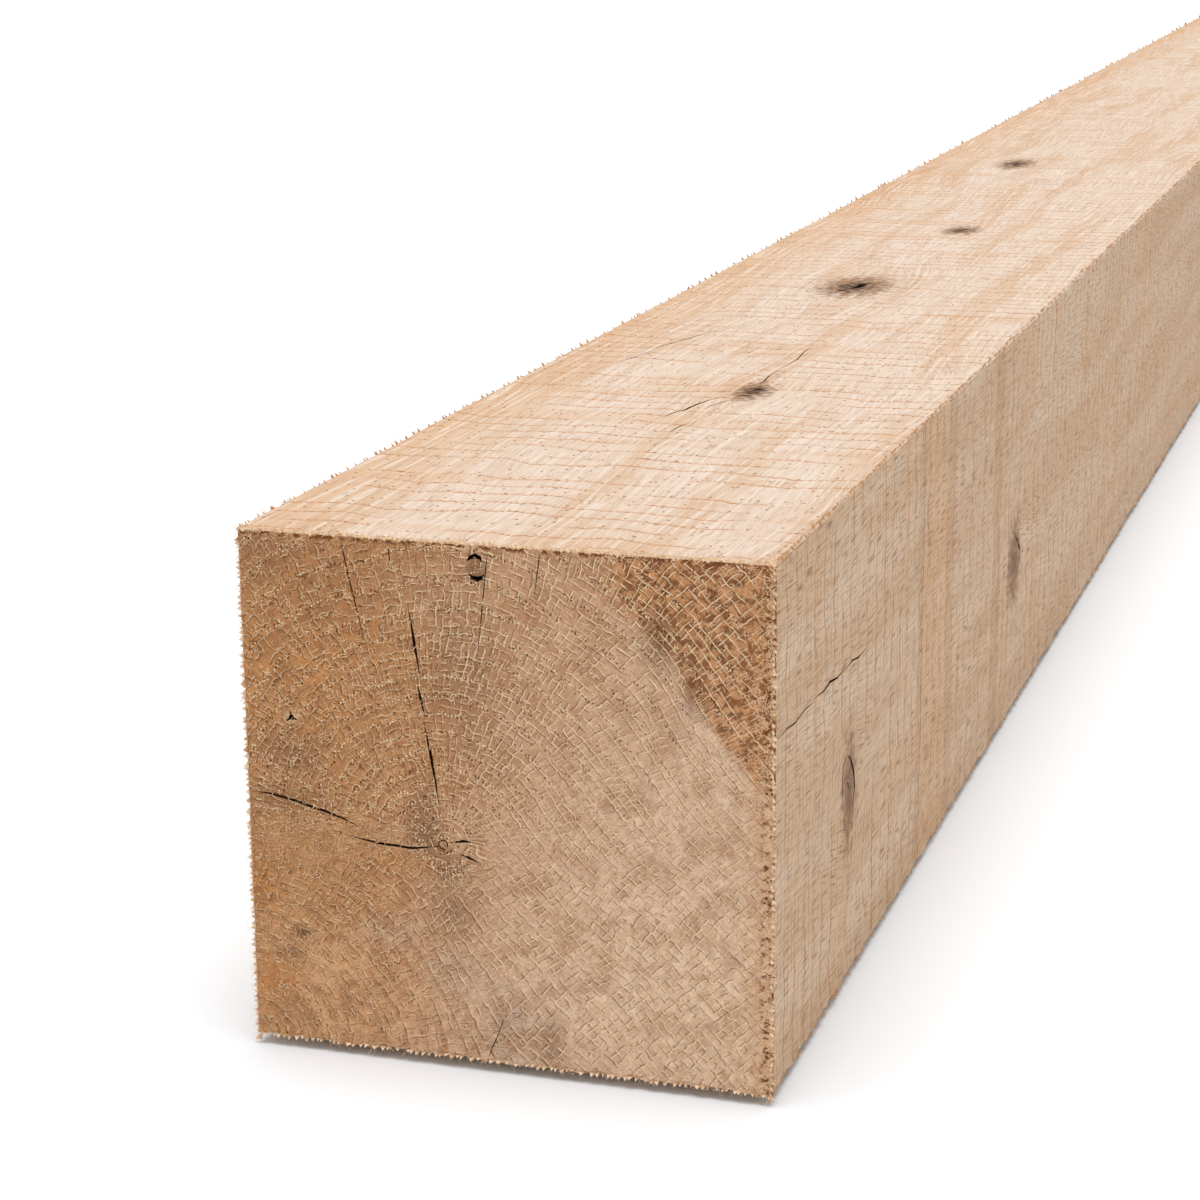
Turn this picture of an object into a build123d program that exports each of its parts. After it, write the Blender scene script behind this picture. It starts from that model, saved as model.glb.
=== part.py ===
from build123d import *
import os
from math import cos, pi, radians, sin

# A square post of rough-sawn oak, cut from one log so that the heart of the tree runs inside it.
# It lies on one side along X. The near end, with the drying checks, is at -X, and the underside
# is at Z = 0. The left face is at +Y and the right face at -Y, as seen from the near end.
# All sizes are in millimetres.

# Stock
post_length = 2400.0
post_width = 150.0
post_height = 150.0
arris_break = 0.8

# Pith, the centre of the annual rings, on the near end
pith_from_left = 57.5
pith_from_bottom = 65.0
pith_crack_radius = 1.3
pith_crack_width = 0.35
pith_crack_depth = 4.0

# How cracks and pits narrow inwards, how far a cut starts outside its face,
# and how near to a face's edge a check comes without breaking through it
crack_floor_share = 0.3
pit_floor_share = 0.4
tool_proud = 0.6
skin_left_by_checks = 1.2

# Heart check: long blades one behind the other, each stepped sideways from the last.
# Each path is a list of (to the right, up) distances from the pith, on the near end.
heart_check_width = 0.9
heart_check_depth = 48.0
heart_check_paths = [
    [(-8.6, 67.8), (-6.8, 56.2), (-5.1, 44.5)],
    [(-6.3, 45.8), (-5.4, 40.7), (-4.2, 35.3)],
    [(-4.8, 35.3), (-2.8, 24.5), (-0.5, 9.0)],
]

# Cross check: the crack through the pith, in two runs, with a short branch on its right
cross_check_width = 0.8
cross_check_depth = 36.0
cross_check_paths = [
    [(-29.8, 0.4), (-19.3, -1.4), (-8.7, -1.9), (-1.1, -0.6)],
    [(1.2, 0.6), (5.8, 1.5), (9.5, 1.6)],
    [(4.3, -2.1), (7.4, -3.0), (10.8, -4.3)],
]

# Side check: it starts just inside the left face and runs in towards the pith.
# Its points are (from the left face, above the pith).
side_check_width = 0.8
side_check_depth = 40.0
side_check_path = [
    (skin_left_by_checks, 10.2), (6.5, 9.9), (13.2, 8.7), (22.9, 6.4), (29.0, 4.4), (34.0, 2.3),
]

# Low check: a fine one that starts just above the underside.
# Its points are (to the right of the pith, above the underside).
low_check_width = 0.35
low_check_depth = 12.0
low_check_path = [(11.1, skin_left_by_checks), (12.9, 7.0), (14.8, 11.3), (18.2, 20.5)]

# Edge checks: fine ones that start just under the top face, and are widest near it.
# Each is (to the right of the pith at the top, the same at its lower end, length downwards, width).
edge_check_depth = 16.0
edge_check_widest_share = 0.15
edge_checks = [
    (-27.4, -20.4, 33.0, 0.45),
    (-13.9, -12.6, 9.5, 0.35),
    (14.6, 10.2, 38.0, 0.35),
    (29.0, 27.1, 15.0, 0.35),
]

# Bark pocket below the top arris: two short crescents, (right of the pith, below the top face)
bark_pocket_width = 1.5
bark_pocket_depth = 7.0
bark_pocket_paths = [
    [(8.4, 5.4), (9.4, 4.3), (10.9, 3.7), (12.4, 4.3), (13.0, 5.6)],
    [(8.9, 8.3), (10.0, 9.5), (11.4, 9.9), (12.8, 9.4), (13.6, 8.3)],
]

# Beetle hole with three short splits, (right of, above) the pith
hole_right = -43.3
hole_up = 32.4
hole_radius = 0.8
hole_depth = 14.0
hole_split_length = 2.2
hole_split_width = 0.6
hole_split_depth = 5.0
hole_split_angles = (100.0, 215.0, 340.0)

# Checks along the grain. Each is (path, width), and each path is a list of
# (from the near end, sideways) distances. Sideways is to the right of the pith on the top face,
# and above the pith on the right face.
face_check_depth = 13.0
top_checks = [
    ([(264.0, -35.0), (276.0, -31.2), (285.0, -29.5), (295.0, -28.4)], 0.5),
    ([(293.0, -29.2), (304.0, -28.0), (328.0, -21.5), (350.0, -16.5)], 0.6),
    ([(173.0, 10.0), (181.0, 11.2), (190.0, 14.0), (199.0, 15.2), (207.0, 17.0), (218.0, 22.0)], 0.9),
    ([(190.0, 19.5), (198.0, 20.2), (204.0, 22.0), (216.0, 26.0)], 0.5),
    ([(151.0, 19.5), (158.0, 19.4), (164.0, 20.0), (171.0, 22.0)], 0.5),
    ([(236.0, 26.0), (246.0, 25.7), (254.0, 25.0), (270.0, 25.6)], 0.6),
    ([(266.0, 24.9), (288.0, 26.5), (303.0, 25.2), (320.0, 24.5)], 0.5),
]
right_checks = [
    ([(skin_left_by_checks, 37.0), (12.0, 37.2), (22.0, 36.1), (34.0, 36.6), (45.0, 35.6)], 0.5),
    ([(41.0, 36.7), (55.0, 35.4), (62.0, 35.9), (72.0, 34.4), (83.0, 34.9)], 0.8),
    ([(80.0, 34.0), (90.0, 34.4), (99.0, 32.9), (111.0, 33.0)], 0.6),
]

# Knots: the crescent cracks round each dead branch, in the same coordinates as the checks
# along the grain. Each is (path, width).
knot_crack_depth = 8.0
right_knot_cracks = [
    ([(84.2, 8.6), (81.6, 6.3), (79.8, 3.4), (78.9, 0.2), (79.4, -3.4), (80.6, -6.2)], 0.9),
    ([(84.8, 7.6), (88.4, 5.6), (91.8, 2.2), (94.6, -1.6), (95.7, -5.6), (94.2, -9.4), (90.6, -12.6)], 1.5),
    ([(85.0, -0.6), (86.8, -2.0), (87.6, -4.2)], 1.1),
    ([(366.0, 8.0), (373.0, 3.8), (379.5, -1.0), (378.5, -5.0), (373.0, -9.8)], 1.5),
]
top_knot_cracks = [
    ([(214.5, 23.5), (217.5, 25.8), (219.5, 29.0)], 1.5),
    ([(226.5, 26.0), (229.5, 28.0), (233.5, 30.0)], 2.0),
    ([(445.0, 3.0), (449.0, 5.0), (452.0, 7.5)], 1.8),
    ([(453.0, 7.0), (458.5, 9.5), (466.0, 10.0), (472.0, 14.0)], 3.2),
]

# The planes in which the faces' features are drawn, with their first direction named.
near_x = -post_length / 2
left_y = post_width / 2
pith_y = left_y - pith_from_left
near_plane = Plane(origin=(near_x, pith_y, pith_from_bottom), x_dir=(0, -1, 0), z_dir=(-1, 0, 0))
top_plane = Plane(origin=(near_x, pith_y, post_height), x_dir=(1, 0, 0), z_dir=(0, 0, 1))
right_plane = Plane(
    origin=(near_x, -post_width / 2, pith_from_bottom), x_dir=(1, 0, 0), z_dir=(0, -1, 0)
)
height_above_pith = post_height - pith_from_bottom


def crack_outline(path, width):
    """Corners of a crack's mouth: widest in the middle of the path, and pointed at each end."""
    points = [Vector(*point) for point in path]
    last = len(points) - 1
    left_side, right_side = [], []
    for index in range(1, last):
        across = (points[index + 1] - points[index - 1]).normalized().rotate(Axis.Z, 90)
        half_width = width / 2 * sin(index / last * pi)
        left_side.append(points[index] + across * half_width)
        right_side.append(points[index] - across * half_width)
    return [points[0]] + left_side + [points[last]] + right_side[::-1]


def tapered_cut(plane, outline, anchor, depth, floor_share):
    """A cut with this outline on the plane, shrinking towards the anchor as it goes deeper."""
    sections = []
    for height in (tool_proud, -depth):
        size = 1 + (1 - floor_share) * height / depth
        corners = [anchor + (corner - anchor) * size for corner in outline]
        section = make_face(Polyline(*corners, close=True))
        sections.append(plane.offset(height) * section)
    return loft(sections, ruled=True)


def crack(plane, path, width, depth, floor_share=crack_floor_share):
    """A drying crack or the gap round a knot, which narrows towards the middle of its path."""
    anchor = Vector(*path[len(path) // 2])
    return tapered_cut(plane, crack_outline(path, width), anchor, depth, floor_share)


def heart_cuts():
    """The cracks that run through or towards the pith on the near end."""
    cuts = [crack(near_plane, path, heart_check_width, heart_check_depth) for path in heart_check_paths]
    cuts += [crack(near_plane, path, cross_check_width, cross_check_depth) for path in cross_check_paths]
    side_path = [(from_left - pith_from_left, up) for from_left, up in side_check_path]
    cuts.append(crack(near_plane, side_path, side_check_width, side_check_depth))
    low_path = [(right, up - pith_from_bottom) for right, up in low_check_path]
    cuts.append(crack(near_plane, low_path, low_check_width, low_check_depth))
    return cuts


def edge_cuts():
    """Fine checks that start at the top arris of the near end."""
    cuts = []
    for right_at_top, right_at_foot, length, width in edge_checks:
        start = Vector(right_at_top, height_above_pith - skin_left_by_checks)
        foot = Vector(right_at_foot, height_above_pith - length)
        stops = [start + (foot - start) * share for share in (0, edge_check_widest_share, 0.5, 1)]
        path = [(stop.X, stop.Y) for stop in stops]
        cuts.append(crack(near_plane, path, width, edge_check_depth))
    return cuts


def pith_ring_cut():
    """The small round crack that frees the pith from the wood about it."""
    outer = Circle(pith_crack_radius + pith_crack_width / 2)
    inner = Circle(pith_crack_radius - pith_crack_width / 2)
    return extrude(near_plane * (outer - inner), amount=-pith_crack_depth)


def bark_pocket_cuts():
    """Two crescents where bark was grown over."""
    cuts = []
    for path in bark_pocket_paths:
        from_pith = [(right, height_above_pith - below) for right, below in path]
        cuts.append(crack(near_plane, from_pith, bark_pocket_width, bark_pocket_depth, pit_floor_share))
    return cuts


def beetle_hole_cuts():
    """A small round hole, with short splits that leave it like a star."""
    cuts = [extrude(near_plane * Pos(hole_right, hole_up) * Circle(hole_radius), amount=-hole_depth)]
    for angle in hole_split_angles:
        along = Vector(cos(radians(angle)), sin(radians(angle)))
        centre = Vector(hole_right, hole_up)
        stops = [centre + along * (hole_split_length * share) for share in (0, 0.5, 1)]
        path = [(stop.X, stop.Y) for stop in stops]
        cuts.append(crack(near_plane, path, hole_split_width, hole_split_depth))
    return cuts


def face_cuts(plane, checks, knot_cracks, side_sign):
    """Checks and knot cracks on a long face. side_sign turns sideways distances into the plane's."""
    cuts = []
    for path, width in checks:
        drawn = [(along, side_sign * sideways) for along, sideways in path]
        cuts.append(crack(plane, drawn, width, face_check_depth))
    for path, width in knot_cracks:
        drawn = [(along, side_sign * sideways) for along, sideways in path]
        cuts.append(crack(plane, drawn, width, knot_crack_depth, pit_floor_share))
    return cuts


def sawn_post():
    """The squared stock with its arrises barely broken."""
    stock = Pos(0, 0, post_height / 2) * Box(post_length, post_width, post_height)
    return chamfer(stock.edges(), arris_break)


def oak_post():
    """The post with every check, knot crack and hole cut in it."""
    cuts = heart_cuts() + edge_cuts() + [pith_ring_cut()] + bark_pocket_cuts() + beetle_hole_cuts()
    cuts += face_cuts(top_plane, top_checks, top_knot_cracks, -1)
    cuts += face_cuts(right_plane, right_checks, right_knot_cracks, 1)
    return sawn_post() - cuts


os.makedirs("parts", exist_ok=True)
post = oak_post()
post.label = "oak_post"
export_step(post, "parts/oak_post.step")
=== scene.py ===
"""Rough-sawn oak post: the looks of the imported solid, in metres, in the row's frame.

The post lies along X with its checked end at -X. One dense mesh takes the solid's place. It is
relieved with saw marks and worn arrises, and the solid's own checks and knot cracks are cut into
it. Small torn fibres lie on the end grain, and splinters and fibres stand on the arrises.
"""
import math

import bmesh
import bpy
import numpy as np
from mathutils import Matrix, Vector


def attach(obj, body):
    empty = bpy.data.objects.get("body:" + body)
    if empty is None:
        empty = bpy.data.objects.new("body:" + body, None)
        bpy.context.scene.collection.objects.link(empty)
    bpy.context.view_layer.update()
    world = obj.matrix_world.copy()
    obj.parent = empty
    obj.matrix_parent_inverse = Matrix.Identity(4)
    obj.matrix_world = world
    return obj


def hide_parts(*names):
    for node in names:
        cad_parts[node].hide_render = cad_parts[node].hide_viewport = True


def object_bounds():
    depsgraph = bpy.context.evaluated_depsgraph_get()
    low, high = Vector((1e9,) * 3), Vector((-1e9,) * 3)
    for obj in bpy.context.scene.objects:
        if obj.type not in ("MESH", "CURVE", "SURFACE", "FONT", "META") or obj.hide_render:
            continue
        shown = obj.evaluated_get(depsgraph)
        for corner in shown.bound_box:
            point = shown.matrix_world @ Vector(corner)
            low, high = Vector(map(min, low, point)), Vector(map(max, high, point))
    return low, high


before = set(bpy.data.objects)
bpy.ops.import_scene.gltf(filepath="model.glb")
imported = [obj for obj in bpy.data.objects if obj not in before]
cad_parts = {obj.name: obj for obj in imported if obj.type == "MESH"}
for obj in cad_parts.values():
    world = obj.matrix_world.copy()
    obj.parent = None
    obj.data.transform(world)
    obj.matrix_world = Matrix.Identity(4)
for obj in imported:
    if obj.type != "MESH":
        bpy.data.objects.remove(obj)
cad_low, cad_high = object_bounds()

MM = 0.001
POST = "oak_post"
BODY = "root"

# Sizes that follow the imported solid, in millimetres
near_x, far_x = cad_low.x / MM, cad_high.x / MM
right_y, left_y = cad_low.y / MM, cad_high.y / MM
post_height = cad_high.z / MM
post_width = left_y - right_y
post_length = far_x - near_x
low_corner = np.array([near_x, right_y, 0.0])
high_corner = np.array([far_x, left_y, post_height])

# Places on the ends are measured from the left arris and up from the underside.
# The heart of the tree, and the second centre that the lower rings bend round:
pith_u, pith_v = 57.5, 65.0
second_u, second_v = -4.0, -1.0

# Mesh of the post
arris_inset = 1.0
side_cells = 62
edge_grading = 0.4
first_ring_step = 1.5
ring_growth = 0.0118
last_ring_step = 8.0

# Relief, inwards from the solid's faces
relief_floor = 0.05
waviness_depth = 0.18
saw_band_pitch = 11.0
saw_band_depth = 0.22
end_relief_depth = 0.42
arris_wear_depth = 0.6
arris_wear_reach = 1.6
underside_wear_depth = 3.0
underside_wear_reach = 26.0
underside_wear_height = 6.0

# Places for splinters and fibres on the arrises. The spacing is multiplied by one share on the
# long arrises and by the other round the ends, and on the long ones it grows along the post.
tooth_spacing = 2.4
edge_fibre_spacing = 2.0
long_arris_share = 1.8
end_arris_share = 0.7
spacing_growth_length = 500.0

# Splinters and loose fibres, and how far the fibres may stand out of the solid
tooth_root = 1.0
tooth_growth_length = 900.0
end_fibre_count = 6800
end_fibre_proud = 0.3
edge_fibre_count = 2800
edge_fibre_fade_length = 200.0
edge_fibre_proud = (1.2, 1.4, 1.4)
hanging_length_share = 0.6
fibre_radius = 0.08
fibre_stations = 4
fibre_tone_reach = 4.0

# Annual rings: the width of the first, and how much wider they get with each millimetre outwards
first_annual_ring = 3.0
annual_ring_widening = 0.06

# Fine threads of the end grain: each has a light ridge, partly a painted highlight, and a
# painted shadow line beside it
thread_width = 0.22
thread_pitch = 2.15
thread_run = 4.5
shadow_line_shift = 1.7 * thread_width
corner_radius = 72.0

# Rays from the pith: how many, turned by what share of their spacing, and from how far out
ray_sets = ((48, 0.0, 6.0), (48, 0.5, 18.0), (96, 0.5, 37.0), (192, 0.5, 75.0))
ray_run = 5.0
patches_per_radian = 24.0

# How far a knot pushes the grain aside, as a share of the distance from the knot's middle
grain_push_share = 0.7

wood_gloss = 0.12

# The camera, from the photograph's perspective lines
camera_back = 683.4
camera_right = 248.1
camera_height = 327.0
camera_heading = 17.86
camera_pitch = -14.83
camera_roll = -0.54
focal_length_px = 2860.8
image_size_px = 1200
sensor_mm = 36.0

# Studio: white floor, even white surroundings and one wide soft light almost straight above.
# It is lit brighter than white, so that the floor stays white beside the post, and the floor is
# a little blue, so that the wood's warm light doesn't redden it.
floor_size_m = 60.0
floor_color = (0.9, 0.93, 0.96)
surroundings_strength = 0.55
key_strength = 2.2
key_softness = 46.0
key_elevation = 84.0
key_heading = 200.0
paint_share = 0.95

LONG_GRAIN, END_GRAIN, CHECK_WALL = 0, 1, 2


def tone(red, green, blue):
    """The paint that comes out on the shaded faces as about these display values, up to 255."""
    return tuple(paint_share * (value / 255) ** 2.2 for value in (red, green, blue))


end_tan = tone(222, 174, 136)
end_warm = tone(212, 154, 104)
end_gold = tone(240, 184, 134)
end_pale = tone(250, 213, 183)
end_palest = tone(255, 220, 188)
end_orange = tone(214, 144, 88)
end_deep = tone(166, 114, 76)
end_painted_shadow = tone(112, 68, 38)
end_light = tone(252, 220, 178)
end_dark = tone(62, 38, 24)
cell_brown = tone(118, 70, 40)
# painted shade of the torn notches and of the fringe's shadow at the end's arrises
notch_shade = tone(122, 70, 36)
pith_grey = tone(124, 96, 76)
soot = tone(64, 48, 40)
band_grey = tone(206, 182, 160)
ochre = tone(210, 136, 70)

top_pale = tone(232, 209, 189)
top_light = tone(240, 224, 208)
top_warm = tone(219, 184, 152)
side_tan = tone(224, 196, 168)
side_warm = tone(214, 182, 151)
side_orange = tone(218, 170, 124)
side_deep = tone(186, 148, 114)
side_line = tone(140, 96, 62)
side_rust = tone(186, 124, 74)
side_dark = tone(124, 76, 44)
dot_brown = tone(152, 96, 54)
knot_brown = tone(152, 118, 92)
knot_dark = tone(78, 58, 46)
# painted shade inside the checks, at the mouth and deeper in
check_mouth_shade = tone(96, 62, 40)
check_deep_shade = tone(44, 30, 22)
fibre_pale = tone(246, 212, 172)
fibre_tan = tone(218, 170, 124)
tooth_pale = tone(250, 220, 188)
tooth_brown = tone(190, 138, 92)

# Stains on the end: colour, strength, middle from the left arris and up, and the two radii
stains = (
    (end_gold, 0.95, 24.0, 20.0, 26.0, 18.0),
    (end_palest, 0.95, 126.0, 22.0, 30.0, 28.0),
    (pith_grey, 0.75, 53.0, 67.0, 6.0, 8.0),
    (pith_grey, 0.7, 60.0, 58.0, 5.0, 5.0),
    (pith_grey, 0.5, 52.0, 78.0, 4.0, 9.0),
    (pith_grey, 0.6, 60.0, 46.0, 7.0, 8.0),
    (band_grey, 0.6, 60.0, 28.0, 9.0, 7.0),
    (band_grey, 0.45, 42.0, 38.0, 10.0, 5.0),
    (pith_grey, 0.65, 14.0, 87.0, 9.0, 6.0),
    (pith_grey, 0.45, 64.0, 112.0, 12.0, 24.0),
    (pith_grey, 0.5, 12.0, 74.0, 14.0, 5.0),
    (end_light, 0.6, 14.2, 97.4, 2.6, 2.8),
    (pith_grey, 0.4, 4.0, 144.0, 8.0, 6.0),
    (pith_grey, 0.85, 119.0, 127.0, 5.0, 8.0),
    (pith_grey, 0.6, 128.0, 114.0, 4.0, 8.0),
    (band_grey, 0.85, 76.0, 14.0, 7.0, 12.0),
    (pith_grey, 0.6, 88.0, 10.0, 4.0, 9.0),
    (soot, 0.7, 68.5, 142.5, 3.0, 4.0),
    (soot, 0.8, 15.0, 35.0, 3.0, 2.2),
    (soot, 0.6, 11.0, 28.5, 4.0, 1.8),
    (ochre, 0.7, 6.0, 20.0, 9.0, 7.0),
    (ochre, 0.6, 3.0, 50.0, 5.0, 10.0),
    (ochre, 0.5, 44.0, 59.0, 9.0, 3.0),
    (ochre, 0.4, 22.0, 112.0, 22.0, 20.0),
    (end_deep, 0.4, 24.0, 136.0, 24.0, 14.0),
)

# Knots: place along the post and across the face, and the radii along and across
top_knots = (
    (226.0, 84.5, 15.0, 6.0),
    (460.0, 66.0, 26.0, 14.0),
    (643.0, 75.0, 14.0, 8.0),
    (930.0, 52.0, 24.0, 9.0),
)
right_knots = ((88.0, 60.0, 8.0, 17.0), (367.0, 62.0, 13.0, 15.0))

# A line of dark spots across the right face, and bands: from, to, strength and colour
spotted_line_x = 191.0
right_bands = (
    (183.0, 191.0, 0.3, side_deep),
    (191.0, 232.0, 0.35, side_orange),
    (232.0, 243.0, 0.4, side_deep),
    (320.0, 336.0, 0.4, side_deep),
)

# Where each face lies on the unwrapped map, in shares of the map. The long faces are strips one
# above the other, and each box is given by its lower left corner.
map_margin = 0.01
strip_height = 0.14
strip_gap = 0.005
near_end_favour = 2.0
end_box_size = 0.4
near_end_box = (0.01, 0.59)
far_end_box = (0.43, 0.59)
wall_box = (0.85, 0.59)
wall_box_width = 0.14


class Field:
    """A number, place or colour that varies over a surface: the output of a shader node."""

    def __init__(self, socket):
        self.socket = socket

    def __add__(self, other):
        return calculated("ADD", self, other)

    def __sub__(self, other):
        return calculated("SUBTRACT", self, other)

    def __rsub__(self, other):
        return calculated("SUBTRACT", other, self)

    def __mul__(self, other):
        return calculated("MULTIPLY", self, other)

    def __truediv__(self, other):
        return calculated("DIVIDE", self, other)

    def __rtruediv__(self, other):
        return calculated("DIVIDE", other, self)

    __radd__ = __add__
    __rmul__ = __mul__


def new_node(field, kind):
    return field.socket.id_data.nodes.new("ShaderNode" + kind)


def put_in(socket, value):
    """Joins a node's input to a field, or sets it to a plain value."""
    if isinstance(value, Field):
        socket.id_data.links.new(value.socket, socket)
    else:
        socket.default_value = value


def calculated(operation, *values):
    node = new_node(next(value for value in values if isinstance(value, Field)), "Math")
    node.operation = operation
    for socket, value in zip(node.inputs, values):
        put_in(socket, value)
    return Field(node.outputs[0])


# The next eight serve fields and arrays alike, so that mesh and materials share one ring figure

def root(value):
    return calculated("SQRT", value) if isinstance(value, Field) else np.sqrt(value)


def turn_of(first, second):
    fields = isinstance(first, Field)
    return calculated("ARCTAN2", first, second) if fields else np.arctan2(first, second)


def larger(first, second):
    fields = isinstance(first, Field)
    return calculated("MAXIMUM", first, second) if fields else np.maximum(first, second)


def rising(value, low, high, most=1.0):
    """0 where the value is under low, the most where it is over high, and smooth between them."""
    if not isinstance(value, Field):
        share = np.clip((value - low) / (high - low), 0.0, 1.0)
        return share * share * (3.0 - 2.0 * share) * most
    node = new_node(value, "MapRange")
    node.interpolation_type = "SMOOTHSTEP"
    for name, given in (("Value", value), ("From Min", low), ("From Max", high), ("To Max", most)):
        put_in(node.inputs[name], given)
    return Field(node.outputs["Result"])


def falling(value, low, high, most=1.0):
    return rising(value, high, low, most)


def between(amount, first, second):
    """First where the amount is 0, second where it is 1."""
    return first + (second - first) * amount


def ring_figure(u, v):
    """How far out in the tree a place is, in millimetres, and its angle and distance from the pith.

    Above the pith the rings are round. To its right they straighten along the falling diagonal,
    and to its left and below they turn round the lower left corner.
    """
    across, up = u - pith_u, v - pith_v
    from_pith = root(across * across + up * up)
    clock = turn_of(across, up)
    past_diagonal = (across + up) * math.sqrt(0.5)
    beside, above = u - second_u, v - second_v
    from_second = root(beside * beside + above * above)
    corner_bend = from_second - math.hypot(pith_u - second_u, pith_v - second_v)
    low_side = between(rising(u, 40.0, 115.0), corner_bend, past_diagonal)
    roundness = rising(clock, -1.85, -1.3) * falling(clock, 0.6, 1.9)
    roundness = larger(roundness, falling(from_pith, 7.0, 16.0))
    outward = between(roundness, low_side, from_pith)
    return outward, clock, from_pith, roundness


def ring_number(reach):
    """How many annual rings lie between the pith and a place this far out."""
    widened = reach * (annual_ring_widening / first_annual_ring) + 1.0
    fields = isinstance(reach, Field)
    logarithm = calculated("LOGARITHM", widened, math.e) if fields else np.log(widened)
    return logarithm * (1 / annual_ring_widening)


class Ripple:
    """Smooth random relief made of slanted waves, from 0 to 1."""

    def __init__(self, seed, wavelength, stretch=(1.0, 1.0, 1.0), count=16):
        draw = np.random.default_rng(seed)
        direction = draw.normal(size=(count, 3))
        direction /= np.linalg.norm(direction, axis=1)[:, None]
        scale = 2 * np.pi / (wavelength * draw.uniform(0.6, 1.7, count))
        self.wave = direction * scale[:, None] / np.array(stretch)
        self.phase = draw.uniform(0, 2 * np.pi, count)
        self.gain = 0.6 / math.sqrt(count)

    def __call__(self, points):
        waves = np.sin(points @ self.wave.T + self.phase).sum(axis=1) * self.gain
        return np.clip(0.5 + waves, 0.0, 1.0)


end_ripple = Ripple(3, 5.0)
side_ripple = Ripple(1, 70.0, (3.0, 1.0, 1.0))
band_ripple = Ripple(2, 90.0, (1.0, 4.0, 4.0))
wear_ripple = Ripple(4, 5.0)
long_wear_ripple = Ripple(6, 60.0)


def graded(low, high):
    """Places across a face, closer together near both arrises."""
    share = np.linspace(0.0, 1.0, side_cells + 1)
    eased = share - edge_grading * np.sin(2 * np.pi * share) / (2 * np.pi)
    return low + (high - low) * eased


def ring_places():
    """Places of the cross rings along the post, closest together at the near end."""
    places = [near_x + arris_inset]
    while places[-1] < far_x - arris_inset - last_ring_step:
        places.append(places[-1] + first_ring_step + ring_growth * (places[-1] - near_x))
    places[-1] = far_x - arris_inset
    return places


def post_points():
    """Points of the plain post: the rings, then the grids of the two ends."""
    ys = graded(right_y + arris_inset, left_y - arris_inset)
    zs = graded(arris_inset, post_height - arris_inset)
    loop = [(y, 0.0) for y in ys[::-1]] + [(right_y, z) for z in zs]
    loop += [(y, post_height) for y in ys] + [(left_y, z) for z in zs[::-1]]
    points = [(x, y, z) for x in ring_places() for y, z in loop]
    points += [(x, y, z) for x in (near_x, far_x) for y in ys for z in zs]
    return points


def end_faces(base, first_of_ring):
    """Faces of one end: its grid, and the chamfer strip that joins it to its ring."""
    n = side_cells + 1
    last = side_cells
    faces = []
    for i in range(last):
        for j in range(last):
            a = base + i * n + j
            faces.append((a, a + 1, a + n + 1, a + n))
    border = [base + (last - i) * n for i in range(n)]
    border += [base + j for j in range(n)]
    border += [base + i * n + last for i in range(n)]
    border += [base + last * n + (last - j) for j in range(n)]
    for i in range(4 * n):
        j = (i + 1) % (4 * n)
        corners = (border[i], first_of_ring + i, first_of_ring + j, border[j])
        faces.append(corners[:3] if border[i] == border[j] else corners)
    return faces


def post_faces():
    """Faces of the plain post, and the material slot of each."""
    n = side_cells + 1
    loop = 4 * n
    rings = len(ring_places())
    faces = []
    for ring in range(rings - 1):
        a, b = ring * loop, (ring + 1) * loop
        for i in range(loop):
            j = (i + 1) % loop
            faces.append((a + i, a + j, b + j, b + i))
    ends = end_faces(rings * loop, 0) + end_faces(rings * loop + n * n, (rings - 1) * loop)
    return faces + ends, [LONG_GRAIN] * len(faces) + [END_GRAIN] * len(ends)


def saw_steps(points):
    """Steps left by the saw, each a shallow band across the post with a sharp and a soft side."""
    band = points[:, 0] / saw_band_pitch + band_ripple(points)
    share = np.mod(band, 1.0)
    strength = np.mod(np.sin(np.floor(band) * 12.9898) * 43758.5453, 1.0)
    return strength * (1.0 - rising(share, 0.0, 0.4))


def ring_rows(points):
    """Low ridges along the rings on the ends, from 0 to 1."""
    outward = ring_figure(left_y - points[:, 1], points[:, 2])[0]
    return 0.5 + 0.5 * np.cos(2 * np.pi * ring_number(np.abs(outward)))


def relieved(points):
    """Points pushed inwards from the solid's faces by saw marks, waves and torn end grain."""
    inwards = (points < low_corner + 1e-3).astype(float) - (points > high_corner - 1e-3)
    side_relief = waviness_depth * side_ripple(points) + saw_band_depth * saw_steps(points)
    end_relief = end_relief_depth * (0.7 * end_ripple(points) + 0.3 * ring_rows(points))
    depth = relief_floor + np.where(inwards[:, 0] != 0, end_relief, side_relief)
    return points + inwards * depth[:, None]


def worn(points):
    """Points near the arrises drawn inwards, unevenly, and lifted near those on the floor."""
    from_faces = np.minimum(points - low_corner, high_corner - points)
    inwards = np.sign((low_corner + high_corner) / 2 - points)
    near_face = falling(from_faces, 0.0, arris_wear_reach)
    two_nearest = np.sort(near_face, axis=1)[:, 1]
    wear = arris_wear_depth * wear_ripple(points) ** 2 * (0.3 + 1.4 * long_wear_ripple(points))
    moved = points + inwards * near_face * (wear * two_nearest)[:, None]
    from_rim = np.minimum(from_faces[:, 0], from_faces[:, 1])
    lifted = falling(from_rim, 0.0, underside_wear_reach)
    lifted = lifted * falling(points[:, 2], 0.0, underside_wear_height)
    moved[:, 2] += underside_wear_depth * lifted * (0.75 + 0.4 * wear_ripple(points))
    return moved


def mesh_object(name, points_mm, faces):
    mesh = bpy.data.meshes.new(name)
    mesh.from_pydata((np.asarray(points_mm) * MM).tolist(), [], faces)
    made = bpy.data.objects.new(name, mesh)
    bpy.context.scene.collection.objects.link(made)
    return made


def points_of(mesh):
    """The mesh's points, in millimetres."""
    flat = np.zeros(len(mesh.vertices) * 3)
    mesh.vertices.foreach_get("co", flat)
    return flat.reshape(-1, 3) / MM


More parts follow.
